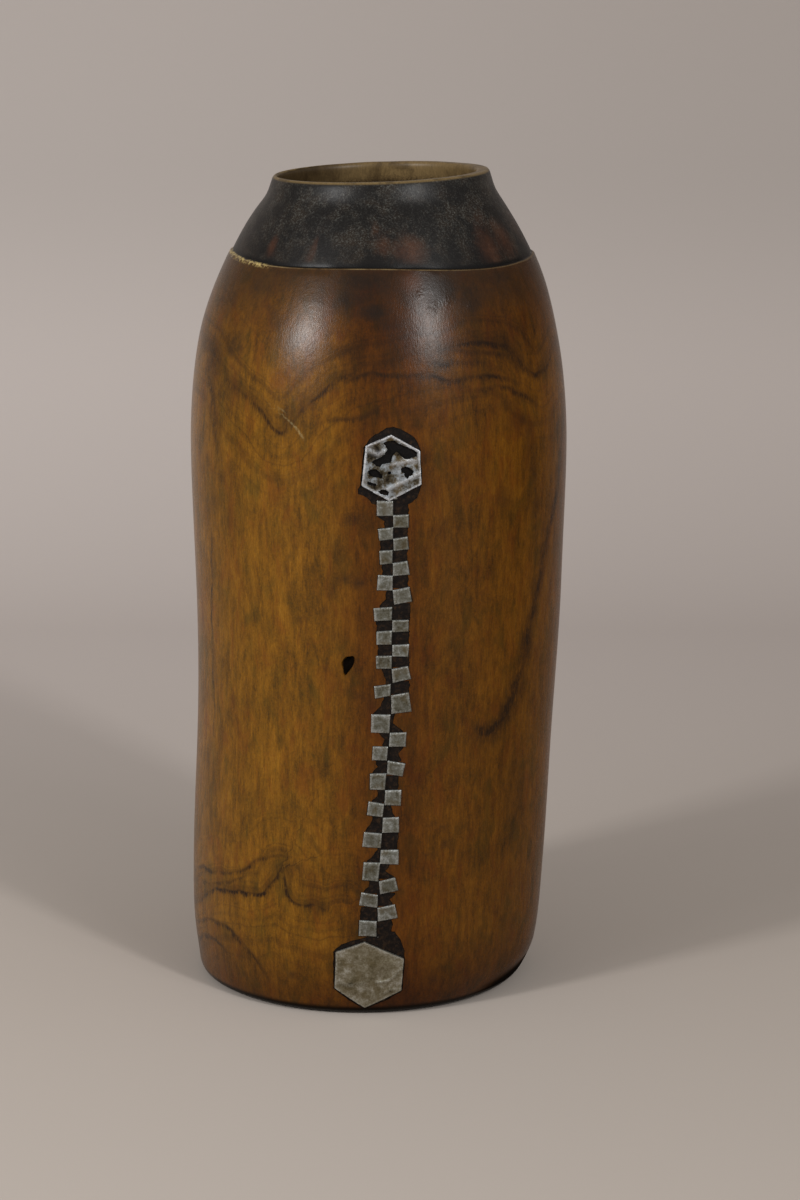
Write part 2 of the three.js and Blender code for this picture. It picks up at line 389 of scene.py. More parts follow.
def buildStudio():
    front, back = studio["floorFront"] * mm, studio["floorBack"] * mm
    bpy.ops.mesh.primitive_plane_add(size=1, location=(0, (front + back) / 2, 0))
    floor = bpy.context.object
    floor.name = "studio_floor"
    startEditing(floor)
    bpy.ops.transform.resize(value=(studio["width"] * mm, back - front, 1))
    stopEditing()
    settle(floor)
    selectVertices(floor, lambda place: place.y > 0)
    radius, steps = studio["sweepRadius"] * mm, studio["sweepSteps"]
    for step in range(steps):
        now, then = (math.pi / 2 * s / steps for s in (step, step + 1))
        rise = (0, radius * (math.sin(then) - math.sin(now)), radius * (math.cos(now) - math.cos(then)))
        bpy.ops.mesh.extrude_region_move(TRANSFORM_OT_translate={"value": rise})
    bpy.ops.mesh.extrude_region_move(TRANSFORM_OT_translate={"value": (0, 0, studio["wallHeight"] * mm)})
    stopEditing()
    floor.data.materials.append(paintedFloorMaterial())
    smoothExceptEdges(floor, 60)
    for lamp in studio["lamps"]:
        turn, rise = math.radians(lamp["turn"]), math.radians(lamp["rise"])
        level = math.cos(rise)
        towards = Vector((math.sin(turn) * level, -math.cos(turn) * level, math.sin(rise)))
        place = Vector(studio["lampsAim"]) + towards * lamp["away"]
        bpy.ops.object.light_add(type="AREA", location=place * mm)
        light = bpy.context.object
        light.name = lamp["name"]
        light.rotation_euler = towards.to_track_quat("Z", "Y").to_euler()
        light.data.shape = "RECTANGLE"
        light.data.size, light.data.size_y = (side * mm for side in lamp["size"])
        light.data.energy = lamp["watts"]
    world = bpy.data.worlds.new("even studio light")
    world.use_nodes = True
    world.node_tree.nodes.clear()
    sky = addNode(world.node_tree, "Background", {"Color": "#ffffff", "Strength": studio["worldLevel"]})
    addNode(world.node_tree, "OutputWorld", {}, {"Surface": sky})
    bpy.context.scene.world = world


buildStudio()
print("studio built")


# Vessel

def turnVessel():
    lipMiddle, offset = vessel["lipTop"][1], vessel["hollowOffset"]
    rings = [(*vessel["baseRing"], 0)]
    rings += [(radius, height, 0) for radius, height in outerLine]
    rings += [(*lipMiddle, offset / 2), (*vessel["lipTop"][2], offset)]
    rings += [(radius, height, offset) for radius, height in hollowLine]
    rings += [(*vessel["hollowFloor"][1], offset)]
    bpy.ops.mesh.primitive_circle_add(vertices=vessel["spokes"], radius=rings[0][0] * mm, fill_type="NGON")
    piece = bpy.context.object
    piece.name = "vessel_wood"
    startEditing(piece)
    for (radius, height, shift), (nextRadius, nextHeight, nextShift) in zip(rings, rings[1:]):
        move = ((nextShift - shift) * mm, 0, (nextHeight - height) * mm)
        bpy.ops.mesh.extrude_region_move(TRANSFORM_OT_translate={"value": move})
        grow = nextRadius / radius
        middle = (nextShift * mm, 0, nextHeight * mm)
        bpy.ops.transform.resize(value=(grow, grow, 1), center_override=middle)
    bpy.ops.mesh.select_all(action="SELECT")
    bpy.ops.mesh.normals_make_consistent(inside=False)
    stopEditing()
    movePoints(piece, carved(pointsOf(piece)))
    applyModifier(piece, "SUBSURF", {"levels": 2, "render_levels": 2})
    return piece


def besideStretch(spots, start, end):  # how far along a straight stretch each spot is, and its gap to it
    along = np.array(end) - start
    share = np.clip((spots - start) @ along / (along @ along), 0, 1)
    return share, spots - start - share[:, None] * along


unrolledRadius = float(outerRadius(vessel["unrolledAt"]))


def softMarks(marks, turn, height):
    total = np.zeros(len(turn))
    for markTurn, markHeight, wide, tall, strength in marks:
        around = np.radians((turn - markTurn + 180) % 360 - 180) * unrolledRadius
        total = np.maximum(total, strength * hump(around, 0, wide) * hump(height, markHeight, tall))
    return total


def turnedPlaces(points):  # where the points lay on the turned shape, in all the ways that wear needs
    before = uncarved(points)
    x, y, height = before.T
    radius = np.hypot(x, y)
    inside = radius < (outerRadius(height) + hollowRadius(height)) / 2
    return before, x, y, height, radius, np.degrees(np.arctan2(x, -y)), inside


def wearVessel(piece):
    points = pointsOf(piece)
    before, x, y, height, radius, turn, inside = turnedPlaces(points)
    offBase = smoothStep(height, 0.5, 8)
    waves = 0.5 + 0.8 * noiseAt(before * (1, 1, 0.6), vessel["wavelength"], 1)
    middle, near, far = vessel["trueAcross"]
    offInlay = np.where(y < 0, smoothStep(np.abs(points[:, 0] - middle), near, far), 1)
    inward = np.clip(vessel["waviness"] * waves * offBase, 0, None) * offInlay
    worn = 0.4 + noiseAt(before, vessel["ledgeWearLength"], 2) + 0.6 * hump(turn, *vessel["ledgeWearMost"])
    atLedge = hump(height, vessel["ledge"][0][1], vessel["ledgeWearHeight"])
    inward += vessel["ledgeWear"] * atLedge * np.clip(worn, 0, None)
    footTurn = hump(turn, vessel["wornFootTurn"], vessel["wornFootReach"])
    inward += vessel["wornFoot"] * footTurn * (1 - smoothStep(height, 0, vessel["wornFootHeight"]))
    rough = np.clip(0.4 + 1.6 * noiseAt(before, vessel["knockLength"], 6), 0, None)
    inward += vessel["knockDepth"] * softMarks(vessel["knocks"], turn, height) * rough
    inward[inside] *= -0.5  # into the wall of the hollow, half as deep
    flat = (height < 0.05) | (radius < 1)
    inward[flat & (radius < vessel["baseRing"][0])] = 0
    share = inward / np.maximum(radius, 1)
    sunk = np.clip(0.5 + noiseAt(before * (1, 1, 0), vessel["lipWearLength"], 3), 0, 1)
    sunk *= vessel["lipWear"] * smoothStep(height, 297, 299.8)
    points[:, 0] -= x * share
    points[:, 1] -= y * share
    points[:, 2] -= sunk
    movePoints(piece, points)


vesselWood = turnVessel()
wearVessel(vesselWood)
print("vessel turned and worn:", len(vesselWood.data.vertices), "vertices")


# Pitch and metal: where the wood is cut away for them

inlay = {
    "plates": {
        "upper_plate": [(11, 215.3), (21, 209.5), (21.5, 197.6), (10.3, 192), (0.7, 197.4), (2.1, 211.4)],
        "lower_plate": [(1.3, 29.5), (15.4, 22.6), (14.5, 10), (1.2, 3.4), (-9.6, 11.2), (-9.1, 25.4)],
    },
    "seats": [  # black pitch shows round the plates
        [(5.5, 215.3), (7.5, 216.4), (9.3, 217.6), (11.7, 218.1), (14.1, 217.4), (16.7, 215.9),
         (18.9, 214.1), (20.5, 212.1), (21.3, 209.4), (21.7, 202.3), (21.6, 197.3), (20.9, 195.2),
         (20, 192.6), (18.3, 191.1), (16.8, 190.5), (11, 190.2), (4.2, 190.8), (3.6, 192.1), (1.4, 193.5),
         (-0.5, 194.3), (-0.8, 195.9), (0.1, 197.4), (0.8, 204.6), (1.4, 210.9), (3.2, 213.6)],
        [(0.6, 30.9), (6.2, 33.2), (12.1, 33.2), (14.3, 29.7), (15.6, 25.4), (15.8, 22.3), (15.3, 16),
         (15, 9.6), (8.4, 5.8), (1.2, 2.6), (-4.6, 6.2), (-10.1, 10.9), (-10.1, 18.6), (-10, 25.2),
         (-9.2, 26.7), (-6.9, 28.4), (-4, 29.5)],
    ],
    "seatRag": 0.16, "seatStep": 1.3,
    "leftPatches": [  # how far the pitch reaches from the seam between two squares: top, middle, foot
        (5.5, 3, 3), (4.5, 4.5, 4.5), (3.8, 3.8, 3.8), (2.3, 2.3, 4.7), (5.8, 5.3, 5.5), (5.1, 5.1, 5.1),
        (3.5, 2.6, 2), (2.5, 3.5, 6), (3.5, 1.5, 2.2), (4, 3.3, 5), (2.8, 2.6, 4.6), (3.7, 4.5, 6),
        (1, 2.5, 4.8), (3.4, 3.6, 5.2), (6, 6, 6)],
    "rightPatches": [
        (5.3, 5.3, 5.3), (5.3, 5.3, 5.3), (5.1, 5.1, 5.1), (5.5, 5.5, 5.5), (6.4, 6.4, 6.4), (6, 6, 6),
        (6.2, 6.2, 6.2), (6.5, 6.5, 6.5), (1.7, 1.2, 5.1), (5.5, 3.8, 4.9), (4.5, 4.5, 4.5),
        (2.6, 3.2, 4.3), (6, 6, 6), (3.5, 2.2, 5.4), (6, 4.3, 5.5), (5.7, 5.7, 5.7)],
    "patchDepth": 3.2, "patchRag": 0.35, "patchEnd": 0.9, "underSquare": 0.5, "pastSeam": 0.5,
    "seatDepth": 5.2, "cutterReach": 8,
    "bedCorners": ((-13, 1.2), (25.5, 221)), "bedSpacing": 1,
    "pitchSunk": 0.42, "pitchRipple": 0.16, "rippleLength": 3.1, "pitchThickness": 2.3,
    "pocketGap": 0.12, "seamGap": 0.05, "mostPull": 0.9,
}

leftSquares = [f"left_square_{i:02d}" for i in range(1, 17)]
rightSquares = [f"right_square_{i:02d}" for i in range(1, 16)]
rightSquares = ["covered_top_square", *rightSquares, "covered_foot_square"]
cornerSides = [(-1, -1), (1, -1), (1, 1), (-1, 1)]  # lower left, lower right, upper right, upper left


def boxOf(node):
    low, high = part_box(node)
    return low / mm, high / mm


seamHeights = [(boxOf(node)[0].z + boxOf(node)[1].z) / 2 for node in leftSquares]
seamPlaces = [boxOf(node)[1].x for node in leftSquares]


def seamAt(height):
    return float(np.interp(height, seamHeights[::-1], seamPlaces[::-1]))


def squareCorners(node):  # seen from the front
    flat = [Vector((v.co.x, v.co.z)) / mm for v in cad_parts[node].data.vertices]
    return [max(flat, key=lambda point: s * point.x + t * point.y) for s, t in cornerSides]


def cornersOnSeam(node):  # the same corners, with the square's inner edge drawn to the seam
    side = -1 if node in leftSquares else 1
    corners = squareCorners(node)
    for i in (1, 2) if side < 0 else (0, 3):
        pull = seamAt(corners[i].y) + side * inlay["seamGap"] - corners[i].x
        corners[i] = corners[i] + Vector((max(-inlay["mostPull"], min(inlay["mostPull"], pull)), 0))
    return corners


def ragged(outline, amount, spacing):  # the unevenness of an edge cut by hand
    rough = []
    for (x1, z1), (x2, z2) in zip(outline, outline[1:] + outline[:1]):
        steps = max(1, round(math.hypot(x2 - x1, z2 - z1) / spacing))
        for step in range(steps):
            x, z = x1 + (x2 - x1) * step / steps, z1 + (z2 - z1) * step / steps
            rough.append((x + random.uniform(-amount, amount), z + random.uniform(-amount, amount)))
    return rough


def patchesOf(column, reaches, side):
    outlines = []
    for above, below, (top, middle, foot) in zip(column, column[1:], reaches):
        high, low = boxOf(above)[0].z + inlay["underSquare"], boxOf(below)[1].z - inlay["underSquare"]
        end = inlay["patchEnd"]
        outer = [(high, top), (high - end, top), ((high + low) / 2, middle), (low + end, foot), (low, foot)]
        edge = []
        for (z1, r1), (z2, r2) in zip(outer, outer[1:] + outer[-1:]):
            edge.append((z1, r1))
            if z2 != z1:
                edge.append(((z1 + z2) / 2, (r1 + r2) / 2 + random.uniform(-1, 1) * inlay["patchRag"]))
        outline = [(seamAt(z) + side * reach, z) for z, reach in edge]
        outline += [(seamAt(z) - side * inlay["pastSeam"], z) for z in (low, high)]
        outlines.append(outline)
    return outlines


def pocketsOf(column):
    outlines = []
    for node in column:
        flat = squareCorners(node) + cornersOnSeam(node)
        hull = [flat[i] for i in geometry.convex_hull_2d(flat)]
        middle = sum(hull, Vector((0, 0))) / len(hull)
        grown = [point + (point - middle).normalized() * inlay["pocketGap"] for point in hull]
        outlines.append([tuple(point) for point in grown])
    return outlines


def cutterFor(outlines, depth):  # one block behind each outline drawn on the front
    vertices, faces = [], []
    for outline in outlines:
        x, z = np.mean(outline, axis=0)
        back = onWood(float(x), float(z), 0).y + depth
        faces.append(range(len(vertices), len(vertices) + len(outline)))
        vertices += [Vector((x, back, z)) * mm for x, z in outline]
    mesh = bpy.data.meshes.new("cutter")
    mesh.from_pydata(vertices, [], faces)
    cutter = bpy.data.objects.new("cutter", mesh)
    bpy.context.scene.collection.objects.link(cutter)
    startEditing(cutter)
    forwards = (0, -(depth + inlay["cutterReach"]) * mm, 0)
    bpy.ops.mesh.extrude_region_move(TRANSFORM_OT_translate={"value": forwards})
    bpy.ops.mesh.select_all(action="SELECT")
    bpy.ops.mesh.normals_make_consistent(inside=False)
    stopEditing()
    return cutter


def cutPit(piece):
    pit = vessel["pit"]
    turn, height = math.radians(pit["turn"]), pit["height"]
    radius = float(outerRadius(height))
    place = Vector((math.sin(turn) * radius + float(leanAt(height)), -math.cos(turn) * radius, height))
    bpy.ops.mesh.primitive_ico_sphere_add(subdivisions=3, radius=1, location=(0, 0, 0))
    cutter = bpy.context.object
    points = pointsOf(cutter) * mm
    uneven = 1 + pit["uneven"] * noiseAt(points, 0.8, 4)
    points[:, 0] *= 1 + pit["taper"] * points[:, 2]
    points[:, 0] += pit["taper"] * points[:, 2]
    movePoints(cutter, points * uneven[:, None] * pit["halfSize"] + np.array(place))
    cutAway(piece, cutter)


random.seed(11)
for outlines, depth in [
    (patchesOf(leftSquares, inlay["leftPatches"], -1), inlay["patchDepth"]),
    (patchesOf(rightSquares, inlay["rightPatches"], 1), inlay["patchDepth"]),
    (pocketsOf(leftSquares), inlay["patchDepth"]),
    (pocketsOf(rightSquares), inlay["patchDepth"]),
    ([ragged(seat, inlay["seatRag"], inlay["seatStep"]) for seat in inlay["seats"]], inlay["seatDepth"]),
]:
    cutAway(vesselWood, cutterFor(outlines, depth))
print("wood cut for the inlay:", len(vesselWood.data.polygons), "faces")


# Pitch

def frontSheet(name, corners, spacing):  # a flat sheet in front of the vessel, ready to wrap
    (left, low), (right, high) = corners
    columns, rows = (max(2, round(length / spacing)) for length in (right - left, high - low))
    bpy.ops.mesh.primitive_grid_add(
        x_subdivisions=columns, y_subdivisions=rows, size=1, rotation=(math.pi / 2, 0, 0),
        location=((left + right) / 2 * mm, 0, (low + high) / 2 * mm))
    sheet = bpy.context.object
    sheet.name = name
    startEditing(sheet)
    bpy.ops.transform.resize(value=((right - left) * mm, 1, (high - low) * mm))
    stopEditing()
    settle(sheet)
    return sheet


def pourPitch():
    bed = frontSheet("pitch_inlay_bed", inlay["bedCorners"], inlay["bedSpacing"])
    points = pointsOf(bed)
    ripple = noiseAt(points, inlay["rippleLength"], 5)
    for i, (x, _, z) in enumerate(points):
        points[i] = onWood(x, z, -inlay["pitchSunk"] + inlay["pitchRipple"] * ripple[i])
    movePoints(bed, points)
    applyModifier(bed, "SOLIDIFY", {"thickness": inlay["pitchThickness"] * mm, "offset": -1})
    subtract(bed, vesselWood)
    smoothExceptEdges(bed, 40)
    return bed


def pitchMaterial():
    # Pitch poured hot and pressed flat: black-brown, dull, with wood dust and ash in its skin.
    material, tree, place = newMaterial("wood pitch, poured and rubbed")
    skin = noiseIn(place, 0.7, 5, 0.65)
    stops = [(0.3, "#050302"), (0.68, "#2b1d10"), (0.52, "#120b07")]
    colour = addNode(tree, "ValToRGB", {"stops": stops}, {0: skin})
    fromPlate = addNode(tree, "VectorMath", {"operation": "DISTANCE", 1: (11, 0, 203.5)},
                        {0: stretched(place, (1, 0, 1))})
    colour = overlaid(colour, mapped(fromPlate, 10, 8, 0, 0.9), "#030202")  # burnt under the upper plate, with painted shade where its holes and edge hang over the pitch
    links = {"Base Color": colour, "Normal": raised(skin, 0.7, 0.25)}
    return surfaced(material, {"Roughness": 0.65, "IOR": 1.22}, links)


pitchBed = pourPitch()
finishPiece(pitchBed, pitchMaterial(), ["pitch_bed"])
print("pitch poured:", len(pitchBed.data.polygons), "faces")

cutPit(vesselWood)
smoothExceptEdges(vesselWood, 38)


# The lines that the growth rings draw where the carving cuts through them. Each point is the
# turn round the vessel from the front (+ = right), the height, the darkness and, where it
# isn't the line's own, the half width.

ringLines = {
    "shoulderRing": {"width": 1.2, "trail": 5, "bands": 0.5, "closed": True, "points": [
        (-180, 232, 0.5), (-150, 226, 0.5), (-120, 233, 0.5), (-95, 239, 0.5), (-77, 241, 0.5, 2.6),
        (-62, 238, 0.5, 3.4), (-54, 233, 0.5, 3), (-46.5, 227.5, 0.5, 2.2), (-40, 223.5, 0.6, 1.7),
        (-37, 221.5, 0.7, 1.5), (-33, 216.5, 0.8, 1.2), (-31, 215, 0.85), (-28.5, 215.5, 0.7),
        (-27, 218.5, 0.6), (-23, 223, 0.6), (-18, 228.5, 0.7), (-14.5, 232, 0.7), (-10, 235, 0.6, 1.6),
        (-3.5, 238, 0.4, 1.8), (12, 241.5, 0.3, 1.8), (24, 244, 0.7), (30.5, 245, 0.9), (34, 245.5, 1),
        (44, 244, 0.8, 2), (48, 240.5, 0.7, 2.6), (52, 235, 0.65, 2.6), (56.5, 231.5, 0.8, 1.7),
        (63.5, 232.5, 0.8, 1.5), (66.5, 235, 0.6), (75, 238, 0.3), (95, 236, 0.4), (120, 236, 0.5),
        (150, 240, 0.5)]},
    "lowerShoulder": {"width": 1.1, "trail": 4, "points": [
        (-12, 231.5, 0), (-9, 233.5, 0.5), (-5.5, 235, 0.7), (1, 236.5, 0.9), (7, 235.5, 0.9),
        (13, 235.5, 0.9), (19.5, 234.5, 0.9), (24, 233, 1), (29.5, 234.5, 1), (36.5, 234, 0.9),
        (40.5, 232.5, 0.8), (44.5, 232, 0.6), (50, 229, 0)]},
    "bandAbove": {"width": 1.1, "trail": 2, "points": [
        (16, 244, 0), (20, 243.5, 0.6), (26.5, 242, 0.8), (32, 241.5, 0.8), (37.5, 242, 0.8),
        (43, 241.5, 0.6), (46, 240, 0)]},
    "bandMiddle": {"width": 1.2, "trail": 2, "points": [
        (13, 240.5, 0), (17, 239.5, 0.6), (21, 238.5, 0.8), (27, 238.5, 0.8), (32.5, 239, 0.6),
        (38, 238, 0)]},
    "bandBelow": {"width": 1.5, "trail": 3, "points": [
        (25, 229, 0), (32.5, 229.5, 0.5), (40, 229.5, 0.6), (47.5, 226.5, 0.7), (54, 221.5, 0.6),
        (59, 218, 0)]},
    "faintShoulder": {"width": 0.9, "trail": 3, "points": [
        (-21, 216.5, 0), (-14.5, 219.5, 0.5), (-10, 220.5, 0.5), (-3.5, 222, 0.5), (0.5, 224.5, 0.5),
        (5, 228.5, 0)]},
    "leftFaint": {"width": 2.4, "trail": 3, "points": [
        (-68, 240, 0), (-63.5, 230, 0.6), (-60, 221.5, 0.7), (-57, 211.5, 0.6), (-55, 201, 0.4),
        (-54, 186, 0)]},
    "leftLine": {"width": 0.7, "trail": 1, "points": [
        (-60.5, 178, 0), (-61.5, 168.5, 0.5), (-62, 155.5, 0.6), (-63.5, 140.5, 0.6), (-63.5, 125.5, 0.6),
        (-62.5, 110.5, 0.5), (-63.5, 99, 0.4), (-63.5, 86, 0)]},
    "sideLoop": {"width": 2.4, "trail": 5, "points": [
        (92, 222, 0), (82, 214, 0.4), (76.5, 208, 0.5), (73.5, 197.5, 0.6), (70, 185.5, 0.7),
        (64.5, 174.5, 0.75), (61, 163, 0.75, 2.8), (58.5, 152.5, 0.8, 3), (55.5, 142, 0.8, 3),
        (53.5, 131.5, 0.8, 3.2), (50.5, 122.5, 0.8, 3.6), (47.5, 114, 0.9, 4.4), (43, 107, 0.95, 5),
        (38, 103, 0.95, 5.4), (33, 105, 0.8, 4.4), (30, 110, 0)]},
    "innerLoop": {"width": 1.8, "trail": 6, "points": [
        (52, 216, 0), (54, 199, 0.4), (56, 186, 0.4), (56, 164, 0.3), (54, 146, 0)]},
    "footRing": {"width": 0.9, "trail": 3, "bands": 0.5, "points": [
        (-105, 26, 0), (-90, 26, 0.5), (-71.5, 32, 0.7), (-61, 38.5, 0.8), (-50, 41, 0.9),
        (-40.5, 42.5, 0.9), (-34.5, 44.5, 0.9), (-32, 47, 0.9), (-30, 50.5, 0.8), (-28.5, 54.5, 0.8),
        (-27, 49.5, 0.8), (-26, 45.5, 0.8), (-23, 42.5, 0.8), (-20, 42, 0.8), (-17.5, 43, 0.8),
        (-13.5, 41.5, 0.5), (-8, 43, 0)]},
    "footRingAbove": {"width": 1, "trail": 3, "points": [
        (-95, 38, 0), (-80, 41, 0.5), (-66.5, 45.5, 0.7), (-58.5, 46, 0.7), (-47.5, 49, 0.6),
        (-41, 53, 0.8), (-36, 57, 0.8), (-31, 59.5, 0.5), (-25.5, 60, 0.4), (-20.5, 56.5, 0)]},
    "footRingMiddle": {"width": 0.8, "trail": 2, "points": [
        (-72, 39, 0), (-66, 40, 0.6), (-58.5, 41.5, 0.6), (-47.5, 45.5, 0.5), (-40, 50, 0.5), (-36, 52, 0)]},
    "footRingBelow": {"width": 1, "trail": 3.5, "points": [
        (-95, 16, 0.3), (-80, 19, 0.5), (-66.5, 25, 0.7), (-55.5, 27.5, 0.8), (-49, 26.5, 0.8),
        (-43, 23.5, 0.8), (-38.5, 20, 0.7), (-36, 16, 0.5), (-32, 8, 0)]},
    "lowestRing": {"width": 0.9, "trail": 2.5, "points": [
        (-95, 8, 0), (-80, 13, 0.5), (-67.5, 18.5, 0.7), (-59, 20, 0.7), (-53.5, 18, 0.5), (-49, 14, 0)]},
    "backLoop": {"width": 1.6, "trail": 6, "bands": 0.5, "points": [
        (148, 70, 0.6), (153, 120, 0.6), (160, 165, 0.6), (172, 196, 0.7), (182, 203, 0.7), (192, 192, 0.7),
        (199, 150, 0.6), (203, 95, 0.6), (196, 55, 0.7), (180, 42, 0.8), (160, 48, 0.7), (148, 70, 0.6)]},
    "leftStreak": {"width": 1.6, "trail": 6, "bands": 0.4, "points": [
        (-112, 62, 0), (-106, 105, 0.5), (-100, 150, 0.5), (-104, 188, 0.4), (-112, 210, 0)]},
}

scratches = {
    "longScratch": {"width": 0.3, "points": [
        (-28.5, 220, 0.6), (-26.5, 218.5, 0.8), (-24.5, 216.5, 1, 0.45), (-23, 214.5, 1, 0.5),
        (-21.5, 212, 0)]},
    "shortScratch": {"width": 0.3, "points": [(-31.5, 223.5, 0), (-29.5, 222.5, 0.8), (-28, 221.5, 0)]},
}

# Soft marks: turn, height, reach round and reach up in mm, strength.
softMarksOf = {
    "darkMark": [
        (-12, 172, 2.2, 6, 0.6), (-11, 164, 4, 2.2, 1), (-5.5, 162.5, 3, 2.4, 0.9),
        (-7.5, 185, 4, 2, 0.6), (-16, 151, 1.6, 2, 0.7), (-13.5, 143, 2, 2.5, 0.7),
        (-14, 160, 1.5, 3, 0.6), (-5.5, 121, 1.5, 1.5, 0.7), (-8.5, 123, 2, 2, 0.5),
        (-1.5, 117.5, 2, 3, 0.5), (-24.5, 147.5, 1.2, 1.6, 0.8), (-25, 174.5, 1, 1.5, 0.7),
        (-26.5, 170.5, 1, 1.5, 0.7), (-28.5, 166, 1, 3, 0.5), (-41.5, 156, 1, 5, 0.5),
        (-54, 194.5, 2, 2.5, 0.7), (-49, 198.5, 1.5, 3, 0.5), (-51.5, 180, 3, 5, 0.5),
        (-58.5, 184, 3, 4, 0.5), (-51, 105, 1.5, 1.5, 0.5), (-24, 112, 1.2, 2, 0.5),
        (19.5, 73, 2, 1.2, 0.8), (23.5, 70.5, 2, 1.2, 0.8), (24.5, 64.5, 1.2, 2.2, 1),
        (20.5, 60.5, 1.5, 0.8, 0.7), (17.5, 61.5, 1, 1, 0.7), (21, 166, 2.5, 14, 0.5),
        (23, 145.5, 2, 10, 0.45), (24.5, 134.5, 3, 3, 0.5), (19, 180.5, 2, 8, 0.4), (14, 197, 3, 5, 0.5),
        (20.5, 205.5, 3, 1, 0.6), (41, 189, 4, 4, 0.4), (55, 183, 3, 4, 0.5), (47.5, 216.5, 6, 3, 0.6),
        (52, 212.5, 4, 4, 0.5), (39.5, 223, 8, 1.5, 0.5), (50.5, 205.5, 2, 8, 0.4),
        (52, 194.5, 2, 10, 0.4), (59, 7, 3, 3, 1), (52, 58, 9, 46, 0.3), (43, 43.5, 1.2, 12, 0.3),
        (23, 12.5, 2, 1.5, 0.5), (-24, 14.5, 2.5, 1.5, 0.8), (-27, 17.5, 1.5, 1.5, 0.6),
        (-43, 18.5, 4, 3, 0.5), (-50, 24, 4, 2, 0.5), (-38, 2.5, 8, 3, 0.6), (-25.5, 56, 6, 1.5, 0.5),
        (-61.5, 236, 5, 8, 0.8), (-55, 224.5, 7, 9, 0.75), (-67, 226, 4, 8, 0.7), (-51.5, 241, 4, 5, 0.4),
        (-8, 244, 9, 2, 0.5), (-19, 224, 1.4, 0.8, 0.9), (-15.5, 225.5, 1.2, 0.8, 0.8)],
    "smoke": [
        (-2.5, 257, 9, 4, 0.9), (-10, 261, 12, 6, 0.8), (3.5, 252.5, 8, 5, 0.7), (-7, 267, 14, 5, 0.9),
        (20, 265, 14, 9, 0.9), (30, 262, 9, 8, 0.7), (8, 248, 14, 6, 0.5), (-30, 269, 14, 2.5, 0.5),
        (45, 268, 16, 3, 0.5), (-45, 264, 14, 4, 0.55), (-64, 257, 12, 7, 0.6), (-36, 254, 8, 6, 0.5),
        (-52, 243, 8, 7, 0.5), (-28, 246, 9, 5, 0.35), (-20, 263, 8, 7, 0.5), (-170, 262, 40, 9, 0.8),
        (120, 266, 30, 7, 0.7), (-110, 266, 20, 6, 0.6)],
    # reddish-brown patches; the two at turn 11 are also a painted highlight, where the light lies reddish on
    # the neck and under the ledge
    "warm": [
        (-49, 277.5, 3.2, 4, 1), (-27.5, 278.5, 1.6, 4.5, 0.8), (-29, 274.5, 2, 3, 0.6),
        (-2, 284, 3, 3, 0.5), (1, 279, 5, 5, 0.6), (11, 277, 9, 5.5, 0.85), (11, 267, 5, 4.5, 1),
        (48, 278, 9, 8, 0.85), (60, 279, 9, 7, 0.8), (80, 281, 13, 8, 0.5), (130, 280, 16, 7, 0.6),
        (-120, 279, 15, 6, 0.6), (180, 282, 14, 6, 0.6)],
    "knocked": vessel["knocks"],
}
ledgeWearAndHighlight = [  # turn, and how pale the chipped edge is there: worn pale, with a painted highlight where the edge catches the light
    (-180, 0.4), (-120, 0.7), (-75, 0.4), (-66, 0.7), (-58, 1), (-40, 0.9), (-35, 0.35), (-14, 0.3),
    (-9, 0.9), (-2, 0.9), (6, 0.65), (26, 0.55), (36, 0.3), (60, 0.35), (90, 0.3), (140, 0.7), (180, 0.4)]


def markWood(piece):
    points = pointsOf(piece)
    _, x, y, height, radius, turn, inside = turnedPlaces(points)
    inside = inside & (height > 8)
    giveValues(piece, "height", height)
    giveValues(piece, "inside", inside.astype(float))
    front = (y < 0) & (height > 3) & (height < 262) & ~inside
    giveValues(piece, "sunken", smoothStep(outerRadius(height) - radius, 0.45, 0.8) * front)
    for name, marks in softMarksOf.items():
        giveValues(piece, name, softMarks(marks, turn, height))
    giveValues(piece, "ledgeWearAndHighlight", np.interp(turn, *zip(*ledgeWearAndHighlight)))
    around = np.radians(turn) * unrolledRadius
    wholeTurn = 2 * math.pi * unrolledRadius
    for name, line in (ringLines | scratches).items():
        path = []
        for lineTurn, lineHeight, dark, *wide in line["points"]:
            path.append((math.radians(lineTurn) * unrolledRadius, lineHeight, dark, *(wide or [line["width"]])))
        if line.get("closed"):
            path.append((path[0][0] + wholeTurn, *path[0][1:]))
        path = np.array(curveThrough(path, 3))
        nearest = np.full(len(points), 1e6)
        signed, darkness, width = (np.full(len(points), start) for start in (40.0, 0.0, 1.0))
        for turns in (-1, 0, 1):
            spot = np.stack([around + turns * wholeTurn, height], axis=1)
            for start, end in zip(path, path[1:]):
                t, gap = besideStretch(spot, start[:2], end[:2])
                distance = np.hypot(*gap.T)
                closer = distance < nearest
                toRight, toTop = end[:2] - start[:2]
                side = np.where(toRight * (spot[:, 1] - start[1]) > toTop * (spot[:, 0] - start[0]), 1, -1)
                nearest = np.where(closer, distance, nearest)
                signed = np.where(closer, side * np.minimum(distance, 40), signed)
                darkness = np.where(closer, start[2] + t * (end[2] - start[2]), darkness)
                width = np.where(closer, start[3] + t * (end[3] - start[3]), width)
        giveValues(piece, name, np.stack([signed, darkness, width], axis=1))


markWood(vesselWood)
print("growth rings and marks laid out")


